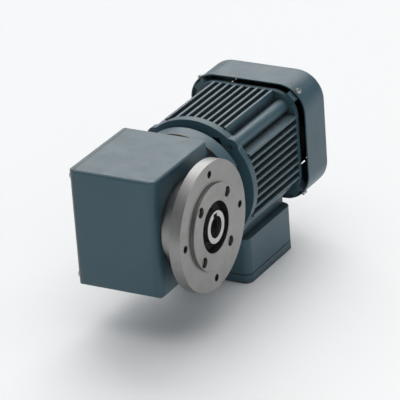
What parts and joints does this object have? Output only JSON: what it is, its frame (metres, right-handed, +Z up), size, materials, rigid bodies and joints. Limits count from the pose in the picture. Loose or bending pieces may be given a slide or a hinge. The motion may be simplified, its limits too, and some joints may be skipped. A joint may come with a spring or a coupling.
{
  "type": "right-angle gearmotor",
  "caption": "Box-shaped right-angle gearmotor with a hollow output shaft, a round output flange, a finned in-line motor and a terminal box below it.",
  "frame": {"origin": "on the output axis, where the upright plane through the motor axis crosses it", "axes": "+X leaves the hollow shaft through the output flange, +Y runs along the motor axis towards the fan, +Z is up"},
  "size_m": [0.1283, 0.289, 0.162],
  "materials": {
    "blue_grey_paint": "satin enamel over cast aluminium",
    "machined_steel": "turned and ground",
    "spring_steel": "oiled spring steel",
    "bearing_steel": "ground and polished",
    "zinc_plate": "zinc plated",
    "lamination_steel": "stacked electrical sheet",
    "machined_iron": "turned cast iron, unpainted",
    "bare_aluminium": "as cast or rolled",
    "enamelled_copper": "enamelled copper wire",
    "yellow_brass": "turned brass",
    "black_plastic": "moulded",
    "black_rubber": "matt",
    "gasket_paper": "fibre gasket"
  },
  "bodies": {
    "casing": {"gear_housing": "blue_grey_paint", "side_cover": "blue_grey_paint", "cover_gasket": "gasket_paper", "cover_screws": "zinc_plate", "closing_cap": "black_rubber", "breather_plug": "yellow_brass", "oil_plugs": "zinc_plate", "output_flange": "machined_iron", "flange_screws": "zinc_plate", "output_seal": "black_rubber", "output_bearing_outer_rings": "bearing_steel", "pinion_bearing_outer_rings": "bearing_steel", "motor_adapter": "blue_grey_paint", "adapter_gasket": "gasket_paper", "adapter_screws": "zinc_plate", "motor_shaft_seal": "black_rubber", "rotor_bearing_outer_rings": "bearing_steel", "stator_housing": "blue_grey_paint", "stator_core": "lamination_steel", "stator_winding": "enamelled_copper", "winding_leads": "black_rubber", "rear_shield": "blue_grey_paint", "wave_spring": "spring_steel", "tie_bolts": "zinc_plate", "fan_cowl": "blue_grey_paint", "cowl_screws": "zinc_plate", "nameplate": "bare_aluminium", "terminal_base": "blue_grey_paint", "terminal_base_screws": "zinc_plate", "terminal_gasket": "black_rubber", "terminal_lid": "blue_grey_paint", "lid_screws": "zinc_plate", "terminal_block": "black_plastic", "terminal_studs": "yellow_brass", "earth_screw": "yellow_brass", "cable_gland": "black_plastic", "gland_insert": "black_rubber", "blanking_plug": "black_plastic"},
    "output": {"hollow_shaft": "machined_steel", "crown_gear": "machined_steel", "crown_key": "machined_steel", "shaft_spacer": "machined_steel", "shaft_circlip": "spring_steel", "output_bearing_inner_rings": "bearing_steel", "output_bearing_balls": "bearing_steel"},
    "countershaft": {"pinion_shaft": "machined_steel", "spur_wheel": "machined_steel", "spur_wheel_key": "machined_steel", "spur_wheel_circlip": "spring_steel", "pinion_bearing_inner_rings": "bearing_steel", "pinion_bearing_balls": "bearing_steel"},
    "rotor": {"motor_pinion": "machined_steel", "rotor_shaft": "machined_steel", "rotor_core": "lamination_steel", "rotor_cage": "bare_aluminium", "rotor_bearing_inner_rings": "bearing_steel", "rotor_bearing_balls": "bearing_steel", "fan": "black_plastic", "fan_clip": "spring_steel"}
  },
  "joints": [
    {"name": "rotor_spin", "type": "hinge", "parent": "casing", "child": "rotor", "pos_m": [0, 0.13, 0], "axis": [0, 1, 0], "continuous": true},
    {"name": "countershaft_spin", "type": "hinge", "parent": "casing", "child": "countershaft", "pos_m": [-0.025, 0.05, 0], "axis": [0, 1, 0], "continuous": true},
    {"name": "output_spin", "type": "hinge", "parent": "casing", "child": "output", "pos_m": [0, 0, 0], "axis": [1, 0, 0], "continuous": true}
  ],
  "couplings": [
    {"joint": "countershaft_spin", "follows": "rotor_spin", "ratio": -0.28205},
    {"joint": "output_spin", "follows": "rotor_spin", "ratio": 0.067155}
  ]
}
